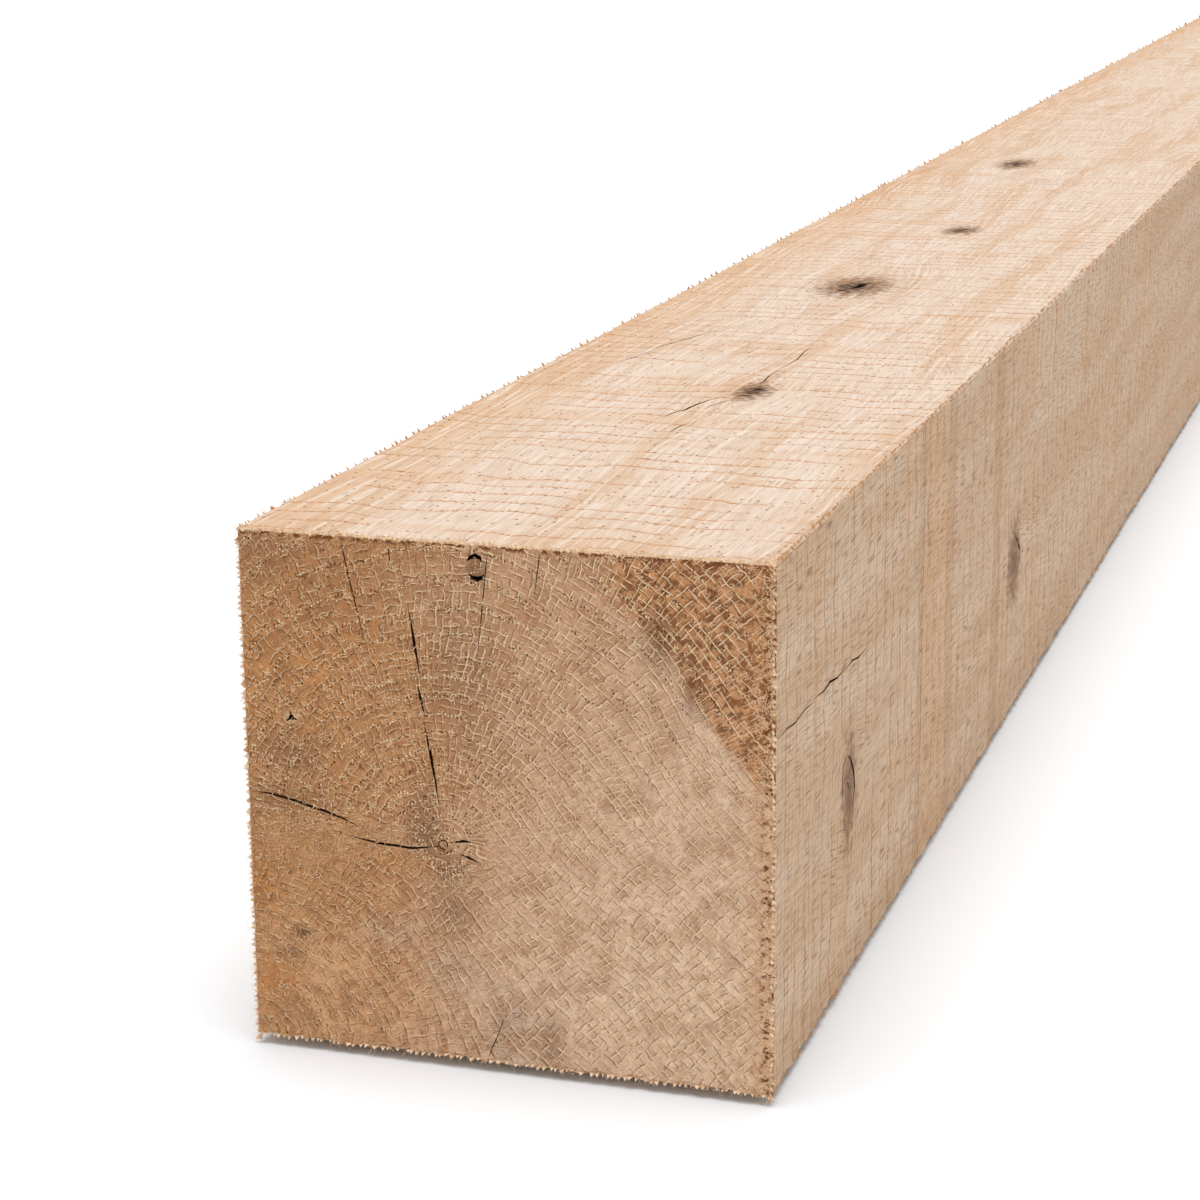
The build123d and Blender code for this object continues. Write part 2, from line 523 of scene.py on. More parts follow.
def refine_near_end(post):
    """Halves the cells inside the near end, where the camera is closest."""
    cut = bmesh.new()
    cut.from_mesh(post.data)
    rim = (near_x + 1e-3) * MM
    inner = [
        edge for edge in cut.edges
        if all(vert.co.x < rim for face in edge.link_faces for vert in face.verts)
    ]
    bmesh.ops.subdivide_edges(cut, edges=inner, cuts=1, use_grid_fill=True)
    cut.to_mesh(post.data)
    cut.free()


def close_and_triangulate(post):
    made = bmesh.new()
    made.from_mesh(post.data)
    bmesh.ops.recalc_face_normals(made, faces=made.faces)
    bmesh.ops.triangulate(made, faces=made.faces)
    made.to_mesh(post.data)
    made.free()


def cut_checks(blank, materials):
    """The blank post with the solid's own checks, cracks and holes cut into it."""
    cutter = bpy.data.objects.new("check_cutter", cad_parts[POST].data.copy())
    bpy.context.scene.collection.objects.link(cutter)
    cutter.data.materials.clear()
    for material in materials:
        cutter.data.materials.append(material)
    cutter.data.polygons.foreach_set("material_index", [CHECK_WALL] * len(cutter.data.polygons))
    weld = bmesh.new()
    weld.from_mesh(cutter.data)
    bmesh.ops.remove_doubles(weld, verts=weld.verts, dist=1e-6)
    weld.to_mesh(cutter.data)
    weld.free()

    modifier = blank.modifiers.new("checks", "BOOLEAN")
    modifier.operation = "INTERSECT"
    modifier.solver = "EXACT"
    modifier.object = cutter
    graph = bpy.context.evaluated_depsgraph_get()
    cut = bpy.data.meshes.new_from_object(blank.evaluated_get(graph), depsgraph=graph)
    blank.modifiers.clear()
    blank.data = cut
    bpy.data.objects.remove(cutter)


def set_map(piece, places):
    """Gives the piece its unwrapped map, from a place for each corner of each face."""
    layer = piece.data.uv_layers.new(name="OFBake")
    layer.data.foreach_set("uv", np.asarray(places, float).reshape(-1))


def corner_points(piece):
    """The point at each corner of each face, in millimetres, and the face's number there."""
    mesh = piece.data
    corners = np.zeros(len(mesh.loops), int)
    mesh.loops.foreach_get("vertex_index", corners)
    sizes = np.zeros(len(mesh.polygons), int)
    mesh.polygons.foreach_get("loop_total", sizes)
    return points_of(mesh)[corners], np.repeat(np.arange(len(sizes)), sizes)


def length_share(x):
    """Share of the map's width for a place along the post: the near end gets the most."""
    share = (x - near_x) / post_length
    return np.log(1.0 + near_end_favour * share) / math.log(1.0 + near_end_favour)


def unwrap_post(post):
    """Lays the four sides out as strips, the ends as squares and the check walls beside them."""
    points, face_of = corner_points(post)
    mesh = post.data
    slots = np.zeros(len(mesh.polygons), int)
    mesh.polygons.foreach_get("material_index", slots)
    normals = np.zeros(len(mesh.polygons) * 3)
    mesh.polygons.foreach_get("normal", normals)
    normals = normals.reshape(-1, 3)[face_of]
    slots = slots[face_of]
    share = (points - low_corner) / (high_corner - low_corner)
    along = map_margin + (1.0 - 2.0 * map_margin) * length_share(points[:, 0])
    upright = np.abs(normals[:, 2]) < np.abs(normals[:, 1])
    strip = np.where(upright, 0, 2) + np.where(upright, normals[:, 1] > 0, normals[:, 2] > 0)
    across = np.where(upright, share[:, 2], share[:, 1])
    level = map_margin + strip * (strip_height + strip_gap) + across * strip_height
    long_map = np.stack([along, level], axis=1)
    boxes = np.where((share[:, 0] < 0.5)[:, None], near_end_box, far_end_box)
    end_map = boxes + end_box_size * share[:, 1:]
    wall_map = np.array(wall_box) + share[:, ::2] * (wall_box_width, end_box_size)
    places = np.where((slots == END_GRAIN)[:, None], end_map, long_map)
    set_map(post, np.where((slots == CHECK_WALL)[:, None], wall_map, places))


def unwrap_flat(piece):
    """Lays a piece of loose fibres out by where each fibre lies on the post."""
    points, _ = corner_points(piece)
    share = (points - low_corner) / (high_corner - low_corner)
    upper = share[:, 2] > 0.5
    across = np.where(upper, 0.5 + 0.5 * share[:, 1], 0.5 * share[:, 1])
    near = np.stack([0.48 * share[:, 1], share[:, 2]], axis=1)
    sides = np.stack([0.5 + 0.48 * length_share(points[:, 0]), across], axis=1)
    places = np.where((points[:, 0] < near_x + 2.0)[:, None], near, sides)
    set_map(piece, np.clip(places, 0.0, 1.0))


def make_post(materials):
    faces, slots = post_faces()
    post = mesh_object("sawn_post", post_points(), faces)
    for material in materials:
        post.data.materials.append(material)
    post.data.polygons.foreach_set("material_index", slots)
    refine_near_end(post)
    shaped = worn(relieved(points_of(post.data)))
    post.data.vertices.foreach_set("co", (shaped * MM).reshape(-1))
    close_and_triangulate(post)
    cut_checks(post, materials)
    unwrap_post(post)
    return post


def fibre_mesh(name, paths, radii):
    """Many thin three-sided fibres in one mesh, each along its own path of points."""
    count, stations, _ = paths.shape
    tangents = np.gradient(paths, axis=1)
    tangents /= np.linalg.norm(tangents, axis=2)[..., None] + 1e-9
    sideways = np.cross(tangents, (0.31, 0.52, 0.79))
    sideways /= np.linalg.norm(sideways, axis=2)[..., None] + 1e-9
    upwards = np.cross(sideways, tangents)
    corners = []
    for turn in (0.0, 2 * np.pi / 3, 4 * np.pi / 3):
        outwards = sideways * np.cos(turn) + upwards * np.sin(turn)
        corners.append(paths + radii[..., None] * outwards)
    points = np.stack(corners, axis=2).reshape(-1, 3)
    last = 3 * (stations - 1)
    one_fibre = [(2, 1, 0)]
    for first in range(0, last, 3):
        for corner in range(3):
            a, b = first + corner, first + (corner + 1) % 3
            one_fibre.append((a, b, b + 3, a + 3))
    one_fibre.append((last, last + 1, last + 2))
    faces = []
    for fibre in range(count):
        base = fibre * stations * 3
        faces += [tuple(base + corner for corner in face) for face in one_fibre]
    return mesh_object(name, points, faces)


def end_directions(u, v):
    """Unit vectors out through the rings, at places on the end."""
    step = 0.5
    out_u = ring_figure(u + step, v)[0] - ring_figure(u - step, v)[0]
    out_v = ring_figure(u, v + step)[0] - ring_figure(u, v - step)[0]
    length = np.hypot(out_u, out_v) + 1e-9
    return out_u / length, out_v / length


def make_end_fibres(material):
    """Torn, curled fibres that lie on the near end, some along the rings and some across them."""
    draw = np.random.default_rng(21)
    count = end_fibre_count
    u = draw.uniform(1.5, post_width - 1.0, count)
    u[: count // 6] = post_width - draw.exponential(2.4, count // 6) - 0.6
    v = draw.uniform(2.5, post_height - 1.5, count)
    out_u, out_v = end_directions(u, v)
    across = draw.uniform(size=count) < 0.5
    heading = np.where(across, np.arctan2(out_v, out_u), np.arctan2(out_u, -out_v))
    loose = 0.3 + 0.6 * falling(u, 20.0, 90.0) + 1.0 * rising(u, 138.0, 148.0)
    heading = heading + draw.normal(0.0, 0.45, count) * loose
    length = draw.uniform(0.8, 2.3, count)
    bend = draw.normal(0.0, 1.3, count) * (0.5 + loose)
    share = np.linspace(0.0, 1.0, fibre_stations)
    turned = heading[:, None] + bend[:, None] * (share - 0.5)
    reach = length[:, None] * (share - 0.5)
    paths = np.zeros((count, fibre_stations, 3))
    paths[..., 0] = near_x
    paths[..., 1] = left_y - np.clip(u[:, None] + np.cos(turned) * reach, 0.5, post_width - 0.4)
    paths[..., 2] = np.clip(v[:, None] + np.sin(turned) * reach, 1.6, post_height - 0.4)
    surface = relieved(paths.reshape(-1, 3))[:, 0].reshape(count, fibre_stations)
    lift = 0.03 + 0.22 * draw.uniform(size=(count, 1)) * np.sin(np.pi * share) ** 2
    paths[..., 0] = np.maximum(surface - lift, near_x - end_fibre_proud)
    thickness = 0.5 + 0.6 * np.sin(np.pi * (0.15 + 0.7 * share))
    radii = fibre_radius * draw.uniform(0.7, 1.3, (count, 1)) * thickness
    made = fibre_mesh("end_fibres", paths, radii)
    made.data.materials.append(material)
    unwrap_flat(made)
    return made


def arris_places(draw, spacing):
    """Places spread along every arris, closest at the near end, with the way out from each."""
    places, outs, alongs = [], [], []
    for y, side in ((right_y, -1.0), (left_y, 1.0)):
        for z, level in ((0.0, -1.0), (post_height, 1.0)):
            x = near_x + spacing
            while x < far_x - spacing:
                places.append((x, y, z))
                outs.append((0.0, side, level))
                alongs.append((1.0, 0.0, 0.0))
                growth = 1.0 + (x - near_x) / spacing_growth_length
                x += long_arris_share * spacing * draw.uniform(0.4, 1.6) * growth
    for x, face in ((near_x, -1.0), (far_x, 1.0)):
        for z, level in ((0.0, -1.0), (post_height, 1.0)):
            for y in np.arange(right_y + spacing, left_y - 1.0, spacing * end_arris_share):
                places.append((x, y + draw.uniform(-0.6, 0.6), z))
                outs.append((face, 0.0, level))
                alongs.append((0.0, 1.0, 0.0))
        for y, side in ((right_y, -1.0), (left_y, 1.0)):
            for z in np.arange(spacing, post_height - 1.0, spacing * end_arris_share):
                places.append((x, y, z + draw.uniform(-0.6, 0.6)))
                outs.append((face, side, 0.0))
                alongs.append((0.0, 0.0, 1.0))
    return np.array(places), np.array(outs), np.array(alongs)


def above_floor(points):
    return np.maximum(points, (-np.inf, -np.inf, 0.05))


def make_teeth(material):
    """Short pointed splinters left standing along the arrises by the saw."""
    draw = np.random.default_rng(31)
    places, outs, alongs = arris_places(draw, tooth_spacing)
    count = len(places)
    far_growth = 1.0 + (places[:, 0] - near_x) / tooth_growth_length
    size = draw.uniform(0.3, 1.0, count) ** 1.3 * far_growth
    foot = places - np.sign(outs) * (1.0 - alongs) * tooth_root
    foot[:, 2] += underside_wear_depth * (places[:, 2] < 1.0)
    outs = outs + draw.normal(0.0, 0.3, (count, 3)) * (1.0 - alongs)
    outs /= np.linalg.norm(outs, axis=1)[:, None]
    sides = np.cross(outs, alongs)
    half_base = (0.6 + size * draw.uniform(0.6, 1.0, count))[:, None]
    reach = (tooth_root * math.sqrt(2.0) + 0.1 + 0.6 * size)[:, None]
    tips = foot + outs * reach + alongs * draw.normal(0.0, 0.3, count)[:, None]
    corners = (
        foot - alongs * half_base,
        foot + alongs * half_base,
        foot + sides * (0.6 * half_base),
        tips,
    )
    points = np.stack([above_floor(corner) for corner in corners], axis=1).reshape(-1, 3)
    faces = []
    for a in range(0, 4 * count, 4):
        faces += [(a, a + 1, a + 3), (a + 1, a + 2, a + 3), (a + 2, a, a + 3), (a, a + 2, a + 1)]
    made = mesh_object("arris_teeth", points, faces)
    made.data.materials.append(material)
    unwrap_flat(made)
    return made


def make_edge_fibres(material):
    """Fine curled fibres that stand on the arrises of the near end and of the first stretch."""
    draw = np.random.default_rng(41)
    places, outs, alongs = arris_places(draw, edge_fibre_spacing)
    chance = np.exp(-(places[:, 0] - near_x) / edge_fibre_fade_length)
    count = edge_fibre_count
    picks = draw.choice(len(places), count, p=chance / chance.sum())
    places, outs, alongs = places[picks], outs[picks], alongs[picks]
    places = places + alongs * draw.uniform(-2.0, 2.0, (count, 1))
    start = places - outs * (0.9 + draw.uniform(0.0, 0.8, (count, 3)) * (1.0 - alongs))
    hanging = places[:, 2] < 1.0
    start[:, 2] += underside_wear_depth * hanging
    outs = outs + draw.normal(0.0, 0.55, (count, 3))
    outs /= np.linalg.norm(outs, axis=1)[:, None]
    length = 1.5 + draw.uniform(0.1, 1.4, (count, 1, 1)) ** 1.5
    length = length * np.where(hanging, hanging_length_share, 1.0)[:, None, None]
    curl = draw.normal(0.0, 0.55, (count, 1, 3))
    share = np.linspace(0.0, 1.0, fibre_stations)[None, :, None]
    paths = start[:, None, :] + outs[:, None, :] * length * share + curl * length * share ** 2
    paths = np.clip(paths, low_corner - edge_fibre_proud, high_corner + edge_fibre_proud)
    paths[..., 2] = np.maximum(paths[..., 2], 0.15)
    radii = fibre_radius * (1.0 - 0.7 * share[..., 0]) * np.ones((count, 1))
    made = fibre_mesh("edge_fibres", paths, radii)
    made.data.materials.append(material)
    unwrap_flat(made)
    return made


def make_camera():
    data = bpy.data.cameras.new("camera")
    data.sensor_width = sensor_mm
    data.lens = focal_length_px * sensor_mm / image_size_px
    data.clip_start, data.clip_end = 0.05, 100.0
    camera = bpy.data.objects.new("camera", data)
    bpy.context.scene.collection.objects.link(camera)
    turn = Matrix.Rotation(math.radians(camera_heading - 90), 3, "Z")
    tilt = Matrix.Rotation(math.radians(90 + camera_pitch), 3, "X")
    roll = Matrix.Rotation(math.radians(camera_roll), 3, "Z")
    place = Vector((near_x - camera_back, -camera_right, camera_height)) * MM
    camera.matrix_world = Matrix.Translation(place) @ (turn @ tilt @ roll).to_4x4()
    bpy.context.scene.camera = camera


def make_floor():
    half = floor_size_m / 2 / MM
    corners = [(-half, -half, 0), (half, -half, 0), (half, half, 0), (-half, half, 0)]
    floor = mesh_object("floor", corners, [(0, 1, 2, 3)])
    material = bpy.data.materials.new("floor_white")
    material.use_nodes = True
    shader = material.node_tree.nodes["Principled BSDF"]
    shader.inputs["Base Color"].default_value = (*floor_color, 1.0)
    shader.inputs["Roughness"].default_value = 0.9
    shader.inputs["Specular IOR Level"].default_value = 0.1
    floor.data.materials.append(material)


def make_light():
    scene = bpy.context.scene
    scene.view_settings.view_transform = "Standard"
    scene.view_settings.look = "None"
    world = bpy.data.worlds.new("studio")
    world.use_nodes = True
    background = world.node_tree.nodes["Background"]
    background.inputs["Color"].default_value = (1.0, 1.0, 1.0, 1.0)
    background.inputs["Strength"].default_value = surroundings_strength
    scene.world = world

    data = bpy.data.lights.new("key", "SUN")
    data.energy = key_strength
    data.angle = math.radians(key_softness)
    key = bpy.data.objects.new("key", data)
    scene.collection.objects.link(key)
    heading, elevation = math.radians(key_heading), math.radians(key_elevation)
    towards = Vector((
        math.cos(heading) * math.cos(elevation),
        math.sin(heading) * math.cos(elevation),
        math.sin(elevation),
    ))
    key.rotation_mode = "QUATERNION"
    key.rotation_quaternion = towards.to_track_quat("Z", "Y")


def size_of(value):
    return calculated("ABSOLUTE", value)


def gap_to_line(value, pitch):
    """How far the value is from the nearest of evenly spaced lines."""
    return calculated("PINGPONG", value, pitch / 2)


def place_of(first, second):
    """A place on a flat map of the surface, in millimetres."""
    node = new_node(next(value for value in (first, second) if isinstance(value, Field)), "CombineXYZ")
    put_in(node.inputs[0], first)
    put_in(node.inputs[1], second)
    return Field(node.outputs[0])


def scaled(place, size, shift):
    """The place, in sizes, moved by a shift."""
    node = new_node(place, "VectorMath")
    node.operation = "MULTIPLY_ADD"
    put_in(node.inputs[0], place)
    put_in(node.inputs[1], (1.0 / size[0], 1.0 / size[1], 1.0))
    put_in(node.inputs[2], (*shift, 0.0))
    return Field(node.outputs[0])


def reach_from(place, middle, radii):
    """How far the place is from the middle of an oval, in radii."""
    shift = (-middle[0] / radii[0], -middle[1] / radii[1])
    node = new_node(place, "VectorMath")
    node.operation = "LENGTH"
    put_in(node.inputs[0], scaled(place, radii, shift))
    return Field(node.outputs["Value"])


def pattern_place(place, size, seed):
    """The place in sizes of a pattern, one for both axes or one for each, moved by its seed."""
    sizes = size if isinstance(size, tuple) else (size, size)
    return scaled(place, sizes, (seed * 7.3, seed * 3.1))


def noise(place, size, seed, detail=1.0):
    """Random cloud from 0 to 1, mostly near a half, with blobs of about this size."""
    node = new_node(place, "TexNoise")
    node.noise_dimensions = "2D"
    put_in(node.inputs["Vector"], pattern_place(place, size, seed))
    put_in(node.inputs["Scale"], 1.0)
    put_in(node.inputs["Detail"], detail)
    return Field(node.outputs["Fac"])


def wobble(place, size, seed, span, detail=1.0):
    """A random shift of up to half the span to either side."""
    return (noise(place, size, seed, detail) - 0.5) * span


def cells(place, size, seed):
    """Random cells: how far a place is from its cell's middle in cell sizes, and a draw per cell."""
    node = new_node(place, "TexVoronoi")
    node.voronoi_dimensions = "2D"
    put_in(node.inputs["Vector"], pattern_place(place, size, seed))
    put_in(node.inputs["Scale"], 1.0)
    split = new_node(place, "SeparateColor")
    put_in(split.inputs[0], Field(node.outputs["Color"]))
    return Field(node.outputs["Distance"]), Field(split.outputs[0])


def painted(color, amount, paint):
    """The colour with a share of another colour laid over it."""
    node = new_node(amount, "Mix")
    node.data_type = "RGBA"
    put_in(node.inputs["Factor"], amount)
    put_in(node.inputs[6], color if isinstance(color, Field) else (*color, 1.0))
    put_in(node.inputs[7], paint if isinstance(paint, Field) else (*paint, 1.0))
    return Field(node.outputs[2])


def new_wood(name):
    """A new material, its shader, and the place on the surface in millimetres."""
    material = bpy.data.materials.new(name)
    material.use_nodes = True
    tree = material.node_tree
    coordinates = tree.nodes.new("ShaderNodeTexCoord")
    split = tree.nodes.new("ShaderNodeSeparateXYZ")
    tree.links.new(coordinates.outputs["Object"], split.inputs[0])
    x, y, z = (Field(split.outputs[axis]) * (1 / MM) for axis in range(3))
    return material, tree.nodes["Principled BSDF"], x, y, z


def finish_wood(shader, color, roughness, height, height_mm):
    """Gives the shader its colour, roughness and a bump of the given depth."""
    bump = new_node(height, "Bump")
    put_in(bump.inputs["Height"], height)
    put_in(bump.inputs["Distance"], height_mm * MM)
    put_in(shader.inputs["Base Color"], color)
    put_in(shader.inputs["Normal"], Field(bump.outputs[0]))
    put_in(shader.inputs["Roughness"], roughness)
    put_in(shader.inputs["Specular IOR Level"], wood_gloss)


def ridge_and_shadow_line(gap, side_gap):
    """Light ridge, partly a painted highlight, and painted shadow line of a thread, from how far a
    place is from each.
    """
    ridge = falling(gap, 0.3 * thread_width, thread_width)
    shadow_line = falling(side_gap, 0.3 * thread_width, 1.5 * thread_width)
    return ridge, shadow_line


def threads(over, along, seed):
    """Fine lines set evenly over one direction, each coming and going along the other."""
    shown = rising(noise(place_of(over / thread_pitch, along / thread_run), 0.8, seed), 0.42, 0.58)
    side_gap = gap_to_line(over + shadow_line_shift, thread_pitch)
    ridge, shadow_line = ridge_and_shadow_line(gap_to_line(over, thread_pitch), side_gap)
    return ridge * shown, shadow_line * shown


def ray_threads(clock, radius):
    """Rays from the pith: their number doubles as they spread, so that they stay as close."""
    ridges, shadow_lines = 0.0, 0.0
    patches = noise(place_of(clock * patches_per_radian, radius / ray_run), 0.8, 61)
    shown = rising(patches, 0.42, 0.58)
    for count, shift, start in ray_sets:
        pitch = radius * (2 * math.pi / count)
        turn = clock * (count / (2 * math.pi)) + shift
        gap = gap_to_line(turn, 1.0) * pitch
        side_gap = gap_to_line(turn + shadow_line_shift / pitch, 1.0) * pitch
        begun = rising(radius, start, start * 1.35) * shown
        ridge, shadow_line = ridge_and_shadow_line(gap, side_gap)
        ridges = ridge * begun + ridges
        shadow_lines = shadow_line * begun + shadow_lines
    return ridges, shadow_lines


def end_grain():
    """Sawn end grain: rings, rays and torn fibres like a coarse woven mesh, with stains."""
    material, shader, _, y, z = new_wood("end_grain")
    raw_u, raw_v = left_y - y, z
    flat = place_of(raw_u, raw_v)
    wild = falling(raw_u, 25.0, 85.0) + 1.1
    u = raw_u + wobble(flat, 2.6, 1, wild) + wobble(flat, 30.0, 2, 5.0, 0.0)
    v = raw_v + wobble(flat, 2.6, 3, wild) + wobble(flat, 30.0, 4, 5.0, 0.0)
    outward, clock, from_pith, roundness = ring_figure(u, v)

    # Annual rings, each with a row of pores at its start and darker wood at its end
    reach = size_of(outward)
    signed_ring = ring_number(reach) * calculated("SIGN", outward)
    ring_width = reach * annual_ring_widening + first_annual_ring
    ring_share = calculated("FLOORED_MODULO", signed_ring, 1.0)
    late_wood = rising(ring_share, 0.45, 1.0)
    pore_row = falling(size_of(ring_share * ring_width - 0.9), 0.4, 1.2)

    # Fine threads: rays across the rings, and lines along them
    ray_ridge, ray_shadow_line = ray_threads(clock, from_pith)
    slant = (u - v) * math.sqrt(0.5)
    slant_ridge, slant_shadow_line = threads(slant, outward, 62)
    corner_turn = turn_of(v - second_v, u - second_u) * corner_radius
    corner_ridge, corner_shadow_line = threads(corner_turn, outward, 63)
    right_side = rising(u, 50.0, 90.0)
    cross_ridge = between(roundness, between(right_side, corner_ridge, slant_ridge), ray_ridge)
    cross_shadow_line = between(roundness, between(right_side, corner_shadow_line, slant_shadow_line), ray_shadow_line)
    run = between(roundness, slant, clock * from_pith)
    along_ridge, along_shadow_line = threads(outward, run, 64)
    ridge = larger(cross_ridge, along_ridge)
    shadow_line = larger(cross_shadow_line, along_shadow_line)

    # Torn cells between the threads, and pores in the rows that begin each ring
    torn_reach, torn_draw = cells(flat, 2.0, 8)
    pore_reach, pore_draw = cells(flat, 0.95, 10)
    pore = falling(pore_reach, 0.16, 0.4)
    in_row = pore_row * (roundness * 0.8 + 0.1)
    dark_pore = pore * rising(pore_draw, 0.6, 0.65) * in_row
    light_pore = pore * falling(pore_draw, 0.4, 0.45) * (in_row + 0.08)

    # Colour, from the broad zones to the threads
    leftness = falling(raw_u + noise(flat, 26.0, 11) * 60.0, 60.0, 120.0)
    corner = rising(outward, 84.0, 88.0) * rising(u, 95.0, 116.0)
    color = painted(end_tan, leftness, end_warm)
    color = painted(color, rising(raw_u * 0.8 - raw_v * 0.5, 0.0, 70.0, 0.95), end_pale)
    color = painted(color, corner * 0.8, end_orange)
    for paint, strength, middle_u, middle_v, radius_u, radius_v in stains:
        from_middle = reach_from(flat, (middle_u, middle_v), (radius_u, radius_v))
        color = painted(color, falling(from_middle, 0.0, 1.7, strength), paint)
    color = painted(color, rising(noise(flat, 9.0, 14), 0.45, 0.7, 0.35), end_deep)
    color = painted(color, rising(noise(flat, 3.6, 16), 0.5, 0.72) * (leftness * 0.24 + 0.14), end_deep)
    late_wood = late_wood * rising(noise(flat, 14.0, 15), 0.35, 0.6)
    color = painted(color, late_wood * (leftness * 0.38 + 0.2), end_deep)
    color = painted(color, torn_draw * 0.26, end_deep)
    weave = place_of(clock * patches_per_radian, from_pith / 3.4)
    woven = rising(noise(weave, 0.75, 17), 0.42, 0.6)
    color = painted(color, woven * (corner * 0.62 + 0.1), cell_brown)
    # Painted shadow beside each thread, then the light ridges: the fibres' pale colour and partly a
    # painted highlight
    color = painted(color, shadow_line * (leftness * 0.15 + 0.5), end_painted_shadow)
    color = painted(color, ridge * (0.95 - leftness * 0.47), end_light)
    color = painted(color, light_pore, end_light)
    color = painted(color, dark_pore * 0.9, end_dark)

    # Painted shade in dark notches along the right arris, and painted shadow under a pale fringe along
    # the upper one
    from_right, from_top = post_width - raw_u, post_height - raw_v
    torn = noise(flat, (3.0, 2.2), 70)
    color = painted(color, falling(from_right, 1.0, 11.0) * rising(torn, 0.3, 0.6, 0.4), ochre)
    beside_arris = larger(falling(from_right, 2.4, 4.4), falling(from_top, 1.4, 2.6))
    color = painted(color, beside_arris * rising(torn, 0.5, 0.56, 0.92), notch_shade)
    color = painted(color, falling(from_top, 0.7, 1.0, 0.85), end_light)

    height = torn_reach * 0.8 + noise(flat, 0.65, 13) * 1.1 - pore * 0.4
    finish_wood(shader, color, 0.85, height, 0.48)
    return material


def knotted(color, place, rough, knot, face, heart_strength):
    """The colour with a knot: a dark heart in a brown halo, with rings round it."""
    middle_x, middle_across, reach_x, reach_across = knot
    away = reach_from(place, (middle_x, middle_across), (reach_x, reach_across)) + rough
    halo = falling(away, 0.3, 1.7) * face
    body = falling(away, 0.85, 1.1) * face
    rings = falling(gap_to_line(away, 0.25), 0.02, 0.08) * falling(away, 0.7, 1.5) * face
    heart = falling(away, 0.1, 0.75) * face
    color = painted(color, halo * 0.45 + body * 0.35, knot_brown)
    color = painted(color, rings * 0.5, side_line)
    return painted(color, heart * heart_strength, knot_dark)


def turned_aside(place, across, knot, sizes, face):
    """How far a knot pushes the grain aside on a face, out to this many times its radii."""
    middle_x, middle_across, reach_x, reach_across = knot
    radii = (reach_x * sizes[0], reach_across * sizes[1])
    near_knot = falling(reach_from(place, (middle_x, middle_across), radii), 0.0, 1.7)
    return near_knot * (across - middle_across) * grain_push_share * face


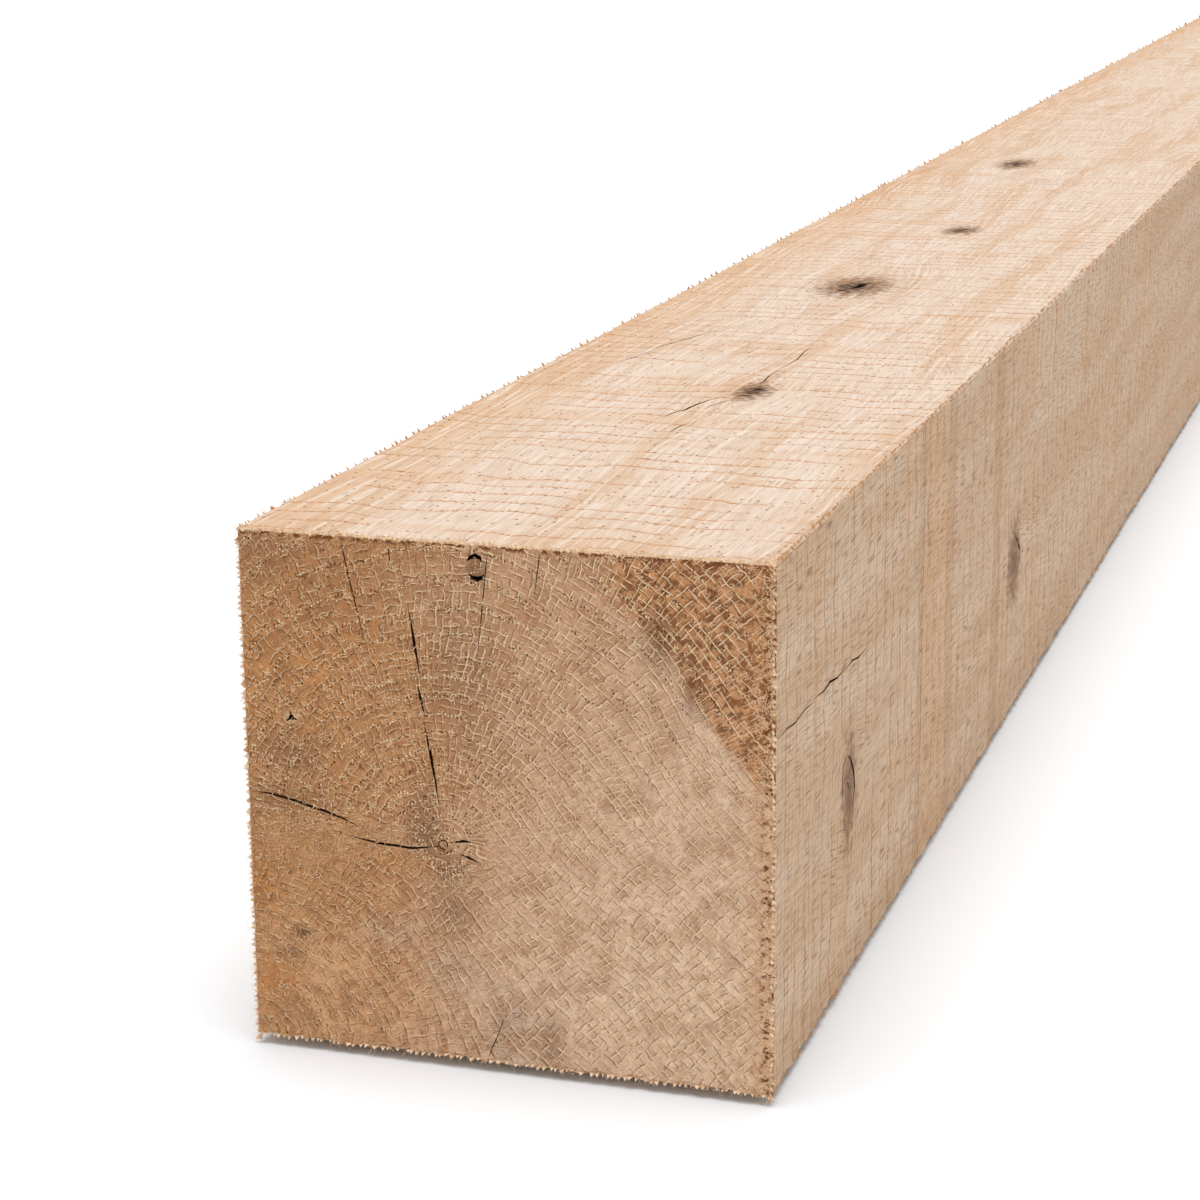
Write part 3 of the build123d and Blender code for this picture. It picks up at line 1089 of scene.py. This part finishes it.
def long_grain():
    """Sawn long grain: pale, with fibre streaks, vessel dashes and lines left by the saw."""
    material, shader, x, y, z = new_wood("long_grain")
    along = x - near_x
    geometry = new_node(along, "NewGeometry")
    split = new_node(along, "SeparateXYZ")
    put_in(split.inputs[0], Field(geometry.outputs["Normal"]))
    upper = rising(Field(split.outputs[2]), 0.4, 0.8)
    right = rising(Field(split.outputs[1]), -0.4, -0.8)
    hidden = rising(Field(split.outputs[1]) - Field(split.outputs[2]), 0.1, 0.9)
    around = y + z + hidden * 700.0
    place = place_of(along, around)
    top_place, right_place = place_of(along, left_y - y), place_of(along, z)

    # The grain turns aside round the knots
    push = wobble(place, (160.0, 40.0), 20, 12.0, 0.0)
    for knot in top_knots:
        push = push + turned_aside(top_place, left_y - y, knot, (2.5, 2.0), upper)
    for knot in right_knots:
        push = push - turned_aside(right_place, z, knot, (3.0, 1.3), right)
    grain = place_of(along, around + push)

    fibre = noise(grain, (50.0, 1.5), 22, 2.0)
    fine_fibre = noise(grain, (14.0, 0.4), 23)
    dash = rising(noise(grain, (11.0, 0.5), 24), 0.66 - right * 0.05, 0.72 - right * 0.05)
    board = noise(grain, (260.0, 16.0), 25)

    # Saw lines across the grain, dotted and broken, each with a soft painted shadow beside it
    wander = wobble(place, (60.0, 26.0), 26, 12.0) + wobble(place, (9.0, 2.6), 32, 1.6, 0.0)
    past_line = calculated("FLOORED_MODULO", along + wander, saw_band_pitch)
    patches = rising(noise(place, (14.0, 45.0), 27), 0.38, 0.52)
    dotting = rising(noise(place, (1.6, 1.2), 28), 0.46, 0.56)
    saw_line = falling(past_line, dotting * 0.5 + 0.3, dotting * 0.9 + 1.0) * patches
    saw_line_shadow = falling(past_line, 0.0, 4.0) * patches
    fine_saw = falling(gap_to_line(along + wander * 0.5, 3.9), 0.1, 0.45)
    fine_saw = fine_saw * rising(noise(place, (5.0, 9.0), 29), 0.4, 0.54)
    band = noise(place, (16.0, 110.0), 30)
    spotted_line = falling(size_of(along + wander * 0.15 - spotted_line_x), 0.3, 1.0) * right

    # Small dots, most on the upper face
    dot_reach, dot_draw = cells(place, (5.0, 3.6), 31)
    dot = falling(dot_reach, 0.08, 0.16) * rising(dot_draw, 0.74, 0.78)

    upper_color = painted(top_pale, rising(board, 0.45, 0.7, 0.6), top_warm)
    upper_color = painted(upper_color, falling(left_y - y, 2.0, 40.0, 0.6), side_orange)
    color = painted(side_tan, rising(board, 0.35, 0.65), side_warm)
    color = painted(color, upper, upper_color)
    for start, end, strength, paint in right_bands:
        inside = rising(along + wander * 0.2, start - 1.0, start + 1.0)
        inside = inside * falling(along + wander * 0.2, end - 2.0, end + 1.0, strength) * right
        color = painted(color, inside, paint)
    color = painted(color, rising(band, 0.52, 0.75, 0.3), side_orange)
    # the soft warm band beside each saw line is painted shadow
    color = painted(color, saw_line_shadow * 0.26, side_orange)
    color = painted(color, rising(fibre, 0.5, 0.75, 0.22), side_deep)
    color = painted(color, falling(fibre, 0.3, 0.48) * upper * 0.7, top_light)
    color = painted(color, rising(fine_fibre, 0.52, 0.75) * (right * 0.26 + 0.12), side_deep)
    color = painted(color, dash * (right * 0.22 + 0.4), side_line)
    color = painted(color, fine_saw * (right * 0.42 + 0.06), side_line)
    color = painted(color, saw_line * (dotting * 0.4 + 0.4), side_rust)
    color = painted(color, dot * (upper * 0.65 + 0.2), dot_brown)
    color = painted(color, spotted_line * (dotting * 0.5 + 0.25), side_dark)
    rough = wobble(place, 3.4, 40, 1.3)
    for knot in top_knots:
        color = knotted(color, top_place, rough, knot, upper, 0.9)
    for knot in right_knots:
        color = knotted(color, right_place, rough, knot, right, 0.35)

    height = noise(place, (12.0, 0.4), 33) + noise(place, 1.0, 34) * 0.5
    finish_wood(shader, color, 0.75, height, 0.3)
    return material


def check_wall():
    """Walls of the checks, in painted shade: brown at the mouth, and darker further in."""
    material, shader, x, y, z = new_wood("check_wall")
    depth = x - near_x + noise(place_of(y, z), 2.0, 50) * 2.0
    color = painted(check_mouth_shade, rising(depth, 0.8, 3.5), check_deep_shade)
    finish_wood(shader, color, 0.9, noise(place_of(x, y + z), 1.0, 51), 0.2)
    return material


def torn_fibre(name, near_tone, far_tone):
    """Loose fibres: one tone beside the near end, and another along the post."""
    material, shader, x, y, z = new_wood(name)
    place = place_of(x + y, z)
    along = x - near_x + noise(place, 2.0, 52) * fibre_tone_reach
    amount = rising(along, 0.4 * fibre_tone_reach, fibre_tone_reach)
    finish_wood(shader, painted(near_tone, amount, far_tone), 0.8, noise(place, 0.5, 53), 0.05)
    return material


make_camera()
make_floor()
make_light()
post = make_post([long_grain(), end_grain(), check_wall()])
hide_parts(POST)
loose_fibre = torn_fibre("torn_fibre", fibre_pale, fibre_tan)
teeth = make_teeth(torn_fibre("torn_tooth", tooth_pale, tooth_brown))
for piece in (post, teeth, make_end_fibres(loose_fibre), make_edge_fibres(loose_fibre)):
    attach(piece, BODY)
